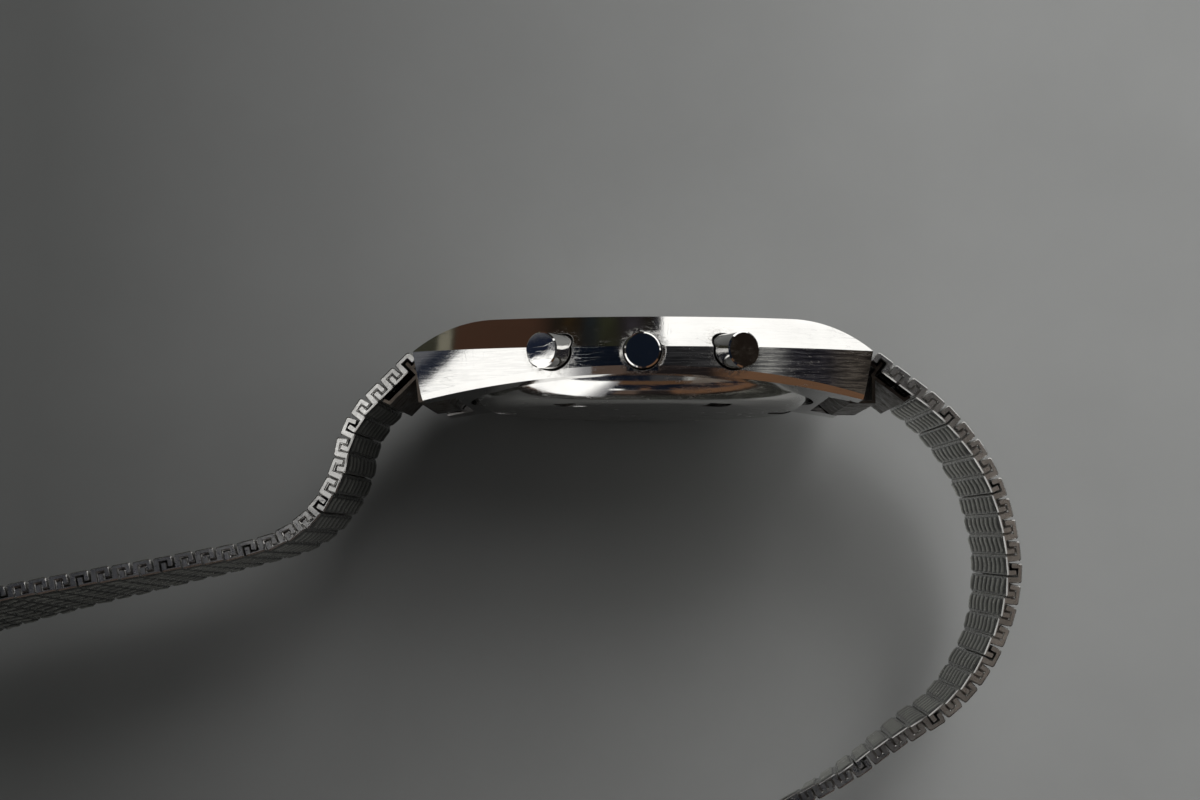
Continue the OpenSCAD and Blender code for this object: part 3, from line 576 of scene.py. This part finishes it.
def ridged_plate(mesh, seed):
    """A link's inner face, as a grid with the rows standing up from the plate and its border sunk in it."""
    start = LINK_GAP + HOOK_END + ROW_EDGE
    stop = PITCH + HOOK_END - ROW_EDGE
    grid = []
    for a in range(STEPS_ALONG + 1):
        x = start + (stop - start) * a / STEPS_ALONG
        fade = min(1, (x - start) / ROW_FADE, (stop - x) / ROW_FADE)
        line = []
        for b in range(STEPS_ACROSS + 1):
            z = (BAND_W / 2 - ROW_MARGIN) * (1 - 2 * b / STEPS_ACROSS)
            lift = ridge_height(x / PITCH, z / BAND_W + 0.5, seed) * fade
            if a in (0, STEPS_ALONG) or b in (0, STEPS_ACROSS):
                lift = ROW_SUNK
            line.append(mesh.corner(x, -HINGE_H - lift, z, lift / RIDGE_H))
        grid.append(line)
    for line, following in zip(grid, grid[1:]):
        for b in range(STEPS_ACROSS):
            mesh.face([line[b], line[b + 1], following[b + 1], following[b]], RIDGES)


def build_link(mesh, outline, k, seed):
    """Link k of a group: its outline at every cut, the faces between them, both ends and the rows."""
    levels = []
    for z, kind in CUTS:
        drawn = inset(outline, [draw_in(p, kind, k) for p in outline])
        levels.append((kind, [p.y for p in drawn], [mesh.corner(p.x, p.y, z) for p in drawn]))
    ridged_plate(mesh, seed)
    for (kind0, heights, ring0), (kind1, _, ring1) in zip(levels, levels[1:]):
        flat = not {kind0, kind1} & {"end", "brow"}
        for j in range(len(outline)):
            m = (j + 1) % len(outline)
            low = max(heights[j], heights[m]) < PLATE_Y + PAST
            high = min(heights[j], heights[m]) > CAP_Y - PAST
            slot = PLATE if low and flat else CAP if high or low else SIDE
            mesh.face([ring1[j], ring1[m], ring0[m], ring0[j]], slot)
    mesh.face(levels[0][2], SIDE)
    mesh.face(levels[-1][2][::-1], SIDE)


def build_links(half, group, frames, mats):
    """The fine mesh of a group's four links, which stands in for the CAD's."""
    grown = GroupMesh(half)
    outline = link_outline()
    for k in range(GROUP):
        i = group * GROUP + k
        grown.start_link(frames[i], i)
        build_link(grown, outline, k, i)
    name = "%s_links_%d" % (half, group)
    mesh = bpy.data.meshes.new(name + "_visual")
    grown.bm.to_mesh(mesh)
    grown.bm.free()
    mesh.set_sharp_from_angle(angle=SHARP)
    for mat in mats:
        mesh.materials.append(mat)
    obj = bpy.data.objects.new("fine_" + name, mesh)
    bpy.context.scene.collection.objects.link(obj)
    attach(obj, "%s_band_%d" % (half, group))
    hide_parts(name)


def attribute(tree, name):
    return add(tree, "ShaderNodeAttribute", attribute_name=name).outputs["Fac"]


def link_steel(relief, tint, rough, metallic):
    """Link steel: relief is "side" sheared ends, "cap" outer caps, "plate" inner plates or "rows" on them."""
    mat, tree, shader = new_material("link_" + relief)
    own = add(tree, "ShaderNodeTexWhiteNoise", noise_dimensions="1D", W=attribute(tree, "link_id"))
    grain = noise(tree, LINK_GRAIN, 4.0, 0.65)
    shade = times(tree, ramp(tree, noise(tree, LINK_PATCH), 0.35, 0.65, 1.05, 0.7),
                  ramp(tree, own.outputs["Value"], 0, 1, 0.88, 1.05))
    height = grain
    # Painted shade: on the 6 o'clock half the inner plates darken towards the case
    if relief in ("plate", "rows"):
        x = in_mm(tree)[0]
        lit = number(tree, "MAXIMUM", ramp(tree, x, *DARK_RIGHT), ramp(tree, x, *DARK_LEFT, 0.35, 0.8))
        shade = times(tree, shade, lit)
    if relief == "plate":
        shade = times(tree, shade, ramp(tree, grain, 0.3, 0.7, 0.5, 1.0))
    elif relief == "rows":
        # Painted shade in the rows' valleys and painted highlight on their crests, set by each vertex's
        # height
        shade = times(tree, shade, ramp(tree, attribute(tree, "rise"), 0.25, 0.85, 0.1, 1.0))
    elif relief == "cap":
        across = split(tree, add(tree, "ShaderNodeUVMap", uv_map="link").outputs["UV"])[1]
        ribs = ramp(tree, number(tree, "PINGPONG", times(tree, across, CAP_RIBS), 0.5), 0.01, 0.07)
        shade = times(tree, shade, ramp(tree, ribs, 0, 1, 0.45, 1.0))
        height = number(tree, "MULTIPLY_ADD", ribs, 6.0, noise(tree, CAP_LINES, 4.0, 0.7))
    fill(tree, shader, Metallic=metallic, Base_Color=shaded(tree, tint, shade),
         Roughness=ramp(tree, grain, 0.3, 0.7, rough * 0.75, rough * 1.3),
         Normal=bump(tree, height, 0.5, LINK_BUMP))
    return mat


LINK_MATS = [link_steel("side", (0.66, 0.65, 0.63), 0.3, 0.97),
             link_steel("cap", (0.7, 0.69, 0.67), 0.2, 0.9),
             link_steel("plate", (0.5, 0.5, 0.46), 0.24, 0.97),
             # The rows' pale tint carries their painted highlight
             link_steel("rows", (0.92, 0.92, 0.84), 0.22, 0.88)]
for half in HALVES:
    frames = link_frames(half)
    for group in range(GROUPS):
        build_links(half, group, frames, LINK_MATS)


# Stage, in mm

FLOOR = -18.0
FLOOR_HALF = 3000
PAPER_IN_SHADE = (0.119, 0.121, 0.118)
PAPER_PALE = (0.298, 0.301, 0.295)
HORIZON = (0.25, 0.25, 0.247)
# Where along X the paper's painted shade gives way to its pale colour, and how far out
# it starts to glow as the horizon
PALE_X = (-60, 30)
HORIZON_R = (180, 600)

NAVY = (0.006, 0.009, 0.016)
WHITE = (1.5, 1.5, 1.48)
PALE = (1.2, 1.2, 1.18)
GREY = (0.3, 0.3, 0.31)
BROWN = (0.054, 0.028, 0.018)
TAN = (0.1, 0.07, 0.055)
COPPER = (0.15, 0.08, 0.045)
FRONT_BASE = (0.037, 0.037, 0.026)
BACK_BASE = (0.07, 0.07, 0.06)
BACK_BRIGHT = (0.95, 0.9, 0.88)
BACK_FOOT = (0.012, 0.011, 0.01)
BACK_TOP = (0.1, 0.055, 0.03)
SIDE_BASE = (0.13, 0.135, 0.15)
UNDER_BASE = (0.13, 0.088, 0.066)
WARM = ((0.12, 0.1, 0.085), (0.2, 0.17, 0.145))
COOL = ((0.025, 0.027, 0.034), (0.06, 0.064, 0.078))
ROOM_BASE = (1.3, 1.3, 1.27)

# Stripes are rows of (low, high, soft edge, colour); one without a high end runs on
FRONT_LEFT = [(-36.4, -33.9, 0.5, (0.2, 0.19, 0.145)), (-33.4, None, 0.8, BROWN),
              (-17, None, 3, (0.012, 0.01, 0.008))]
FRONT_BLOTS = [(-13.5, -11, 1.6, (0.045, 0.026, 0.008)), (-10, -7.5, 1.6, (0.016, 0.026, 0.032)),
               (-7.5, -4, 1.6, (0.034, 0.038, 0.02)), (-3.5, 0, 1.6, (0.042, 0.038, 0.047))]
FRONT_RIGHT = [(2.2, None, 0.8, (0.012, 0.012, 0.016)), (3.6, None, 0.5, WHITE)]
BACK_FAR = [(-72, None, 5, WHITE), (-12, None, 2.5, NAVY)]
BACK_LOW = [(-20, None, 3, (0.02, 0.02, 0.03)), (-14, None, 1, TAN), (-3, None, 1, (0.015, 0.012, 0.012)),
            (16, None, 3, COPPER)]
# The side card's stripes go by the distance above its edge, where z is SIDE_EDGE + SIDE_SLANT * y
SIDE_SLANT = 2.75
SIDE_EDGE = 16.4
SIDE_ROWS = [(-6.0, None, 1.5, (0.012, 0.016, 0.03)), (0, None, 0.6, WHITE)]
# The room above, in degrees from straight up towards 12 o'clock
ROOM = [(-76, None, 2, (0.36, 0.36, 0.36)), (-60, None, 1.5, (0.1, 0.11, 0.14)), (-54, None, 2, NAVY),
        (6, 28, 3, (0.045, 0.045, 0.047)), (31, 37, 2, (0.45, 0.45, 0.43)),
        (38, None, 2, (0.033, 0.032, 0.04)), (53, None, 3, (0.1, 0.086, 0.072)),
        (61.5, None, 0.7, (0.012, 0.009, 0.007))]

LAMP_AWAY = 420
LAMP_SIZE = 200
# Name, tilt from straight above, heading (0 towards 12 o'clock, 90 to the front) and power
LAMPS = [("overhead", 0, 0, 0.11), ("high_front", 28, 60, 0.45), ("front", 45, 60, 0.66),
         ("side", 62, 20, 0.37), ("low_side", 76, 0, 0.48)]


def stripes(tree, value, rows):
    """Layers for blend_colours from rows of stripes."""
    return [(between(tree, value, low, high, soft), colour) for low, high, soft, colour in rows]


def floor_material():
    mat, tree, shader = new_material("floor_paper")
    x, y, z = in_mm(tree)
    far = number(tree, "SQRT", number(tree, "MULTIPLY_ADD", x, x, times(tree, y, y)))
    # Painted shade: the paper darkens towards the left, away from the lamps
    paper = blend_colours(tree, PAPER_IN_SHADE, [(ramp(tree, x, *PALE_X), PAPER_PALE)])
    uneven = ramp(tree, noise(tree, 60, 6.0), 0.3, 0.7, 0.97, 1.03)
    fill(tree, shader, Roughness=0.9, Specular_IOR_Level=0.0, Base_Color=shaded(tree, paper, uneven),
         Emission_Color=(*HORIZON, 1), Emission_Strength=ramp(tree, far, *HORIZON_R))
    return mat


def sheet(name, low, high, mat):
    """A flat rectangle between two opposite corners that share one coordinate."""
    across, up = [axis for axis in range(3) if low[axis] != high[axis]]
    corners = [Vector(low) for _ in range(4)]
    for i in (1, 2):
        corners[i][across] = high[across]
    for i in (2, 3):
        corners[i][up] = high[up]
    mesh = bpy.data.meshes.new(name)
    mesh.from_pydata([corner * MM for corner in corners], [], [(0, 1, 2, 3)])
    mesh.materials.append(mat)
    obj = bpy.data.objects.new(name, mesh)
    bpy.context.scene.collection.objects.link(obj)
    return obj


def card(name, low, high, colours, cover=None):
    """A studio card that only reflections see. colours and cover are functions of (tree, x, y, z in mm)."""
    mat = bpy.data.materials.new(name + "_card")
    mat.use_nodes = True
    tree = mat.node_tree
    tree.nodes.clear()
    x, y, z = in_mm(tree)
    glow = add(tree, "ShaderNodeEmission", Strength=1.0, Color=colours(tree, x, y, z))
    gone = tree.nodes.new("ShaderNodeBsdfTransparent")
    shown = cover(tree, x, y, z) if cover else 1.0
    add(tree, "ShaderNodeOutputMaterial", Surface=either(tree, shown, gone.outputs[0], glow.outputs[0]))
    obj = sheet(name, low, high, mat)
    for flag in ("camera", "diffuse", "shadow", "transmission", "volume_scatter"):
        setattr(obj, "visible_" + flag, False)


def front_card(tree, x, y, z):
    faint = ramp(tree, noise(tree, (240, 240, 700), 3.0), 0.38, 0.62, 0.1, 0.8)
    blots = [(times(tree, faint, mask), colour) for mask, colour in stripes(tree, x, FRONT_BLOTS)]
    layers = stripes(tree, x, FRONT_LEFT) + blots + stripes(tree, x, FRONT_RIGHT)
    return blend_colours(tree, FRONT_BASE, layers)


def back_card(tree, x, y, z):
    """Stripes along x in the far part, others below z = 31 in front of the case, and a dark foot."""
    low = opposite(tree, step(tree, z, 31, 2))
    high = times(tree, step(tree, z, 37, 2), step(tree, x, -29, 3))
    spots = step(tree, noise(tree, 90, 2.0, 0.5), 0.58, 0.04)
    return blend_colours(tree, BACK_BASE, [
        *stripes(tree, x, BACK_FAR),
        (high, NAVY),
        (times(tree, step(tree, x, -8, 3), spots), COPPER),
        (times(tree, low, step(tree, z, 20, 2)), BACK_BRIGHT),
        *((times(tree, low, mask), colour) for mask, colour in stripes(tree, x, BACK_LOW)),
        (opposite(tree, step(tree, z, 12, 2)), BACK_FOOT),
        (step(tree, z, 62, 3), BACK_TOP)])


def side_card(tree, x, y, z):
    """White above a slanting, slightly wavy edge, with a dark stripe below it."""
    wave = ramp(tree, noise(tree, 300, 3.0), 0.3, 0.7, -0.35, 0.35)
    above = number(tree, "SUBTRACT", number(tree, "MULTIPLY_ADD", y, -SIDE_SLANT, z), SIDE_EDGE)
    return blend_colours(tree, SIDE_BASE, stripes(tree, number(tree, "ADD", above, wave), SIDE_ROWS))


def ellipse_card(tree, x, y, z):
    return blend_colours(tree, WHITE, [(step(tree, x, -7.5, 2), GREY)])


def loop_card(tree, x, y, z):
    return blend_colours(tree, WHITE, [(step(tree, y, -12, 1), PALE)])


def loop_cover(tree, x, y, z):
    """The loop card shows on its 12 o'clock side only."""
    return opposite(tree, tree.nodes.new("ShaderNodeNewGeometry").outputs["Backfacing"])


def under_card(tree, x, y, z):
    return blend_colours(tree, UNDER_BASE, [(step(tree, x, -30, 4), TAN)])


def over_card(tree, x, y, z):
    return blend_colours(tree, WHITE, [(step(tree, x, -28, 3), PALE)])


def over_cover(tree, x, y, z):
    """The over card fades in beyond y = -4.5."""
    return step(tree, y, -4.5, 1)


def grained(tree, scale, dark, light):
    return blend_colours(tree, dark, [(ramp(tree, noise(tree, scale, 3.0), 0.35, 0.7), light)])


def warm_card(tree, x, y, z):
    return grained(tree, (120, 420, 120), *WARM)


def cool_card(tree, x, y, z):
    return grained(tree, (420, 120, 120), *COOL)


def lamp(name, tilt, heading, power):
    """A round lamp aimed at the floor below the watch."""
    tilt, heading = math.radians(tilt), math.radians(heading)
    away = Vector((math.sin(tilt) * math.cos(heading), math.sin(tilt) * math.sin(heading), math.cos(tilt)))
    data = bpy.data.lights.new(name, "AREA")
    data.shape = "DISK"
    data.size = LAMP_SIZE * MM
    data.energy = power
    obj = bpy.data.objects.new(name, data)
    obj.location = away * LAMP_AWAY * MM + Vector((0, 0, FLOOR * MM))
    obj.rotation_euler = away.to_track_quat("Z", "Y").to_euler()
    obj.visible_glossy = False
    bpy.context.scene.collection.objects.link(obj)


def light_world():
    """Reflections see the striped room; everything else sees a faint sky with a pale horizon."""
    world = bpy.data.worlds.new("studio")
    bpy.context.scene.world = world
    world.use_nodes = True
    tree = world.node_tree
    tree.nodes.clear()
    x, y, z = split(tree, tree.nodes.new("ShaderNodeTexCoord").outputs["Generated"])
    slant = times(tree, number(tree, "ARCTAN2", x, z), 180 / math.pi)
    room = blend_colours(tree, ROOM_BASE, stripes(tree, slant, ROOM))
    mirrored = add(tree, "ShaderNodeBackground", Color=room)
    soft = add(tree, "ShaderNodeBackground", Color=ramp(tree, z, 0.05, 0.4, 0.25, 0.004))
    glossy = tree.nodes.new("ShaderNodeLightPath").outputs["Is Glossy Ray"]
    add(tree, "ShaderNodeOutputWorld", Surface=either(tree, glossy, soft.outputs[0], mirrored.outputs[0]))


sheet("floor", (-FLOOR_HALF, -FLOOR_HALF, FLOOR), (FLOOR_HALF, FLOOR_HALF, FLOOR), floor_material())
card("front_screen", (-130, 50, -18), (130, 50, 60), front_card)
card("back_screen", (-130, -60, -18), (130, -60, 90), back_card)
card("side_screen", (-40, -2, 20), (-40, 45, 66), side_card)
card("warm_screen", (24, -32, 40), (66, 1, 40), warm_card)
card("cool_screen", (-66, -30, 40), (-14, -6, 40), cool_card)
card("ellipse_screen", (-30, -8, 11.3), (-5.2, -8, 26), ellipse_card)
card("loop_screen", (12, -24, 9), (12, -4, 34), loop_card, loop_cover)
card("under_screen", (-64, -24, 8), (-22, -24, 18.5), under_card)
card("over_screen", (-40, -15, 66), (-24, 45, 66), over_card, over_cover)
for name, tilt, heading, power in LAMPS:
    lamp(name, tilt, heading, power)
light_world()


# Camera, solved from the photo

SENSOR = 36.0
FOCAL_PX = 2012.0
PHOTO_W = 1200.0
CAMERA_AT = (-0.48, -11.07, 181.97)
CAMERA_TURN = (3.87, 1.05, -0.02)

cam_data = bpy.data.cameras.new("camera")
cam_data.sensor_width = SENSOR
cam_data.lens = FOCAL_PX / PHOTO_W * SENSOR
cam_data.clip_start = 5 * MM
camera = bpy.data.objects.new("camera", cam_data)
camera.location = Vector(CAMERA_AT) * MM
camera.rotation_euler = [math.radians(angle) for angle in CAMERA_TURN]
bpy.context.scene.collection.objects.link(camera)
bpy.context.scene.camera = camera
bpy.context.scene.view_settings.view_transform = "Standard"
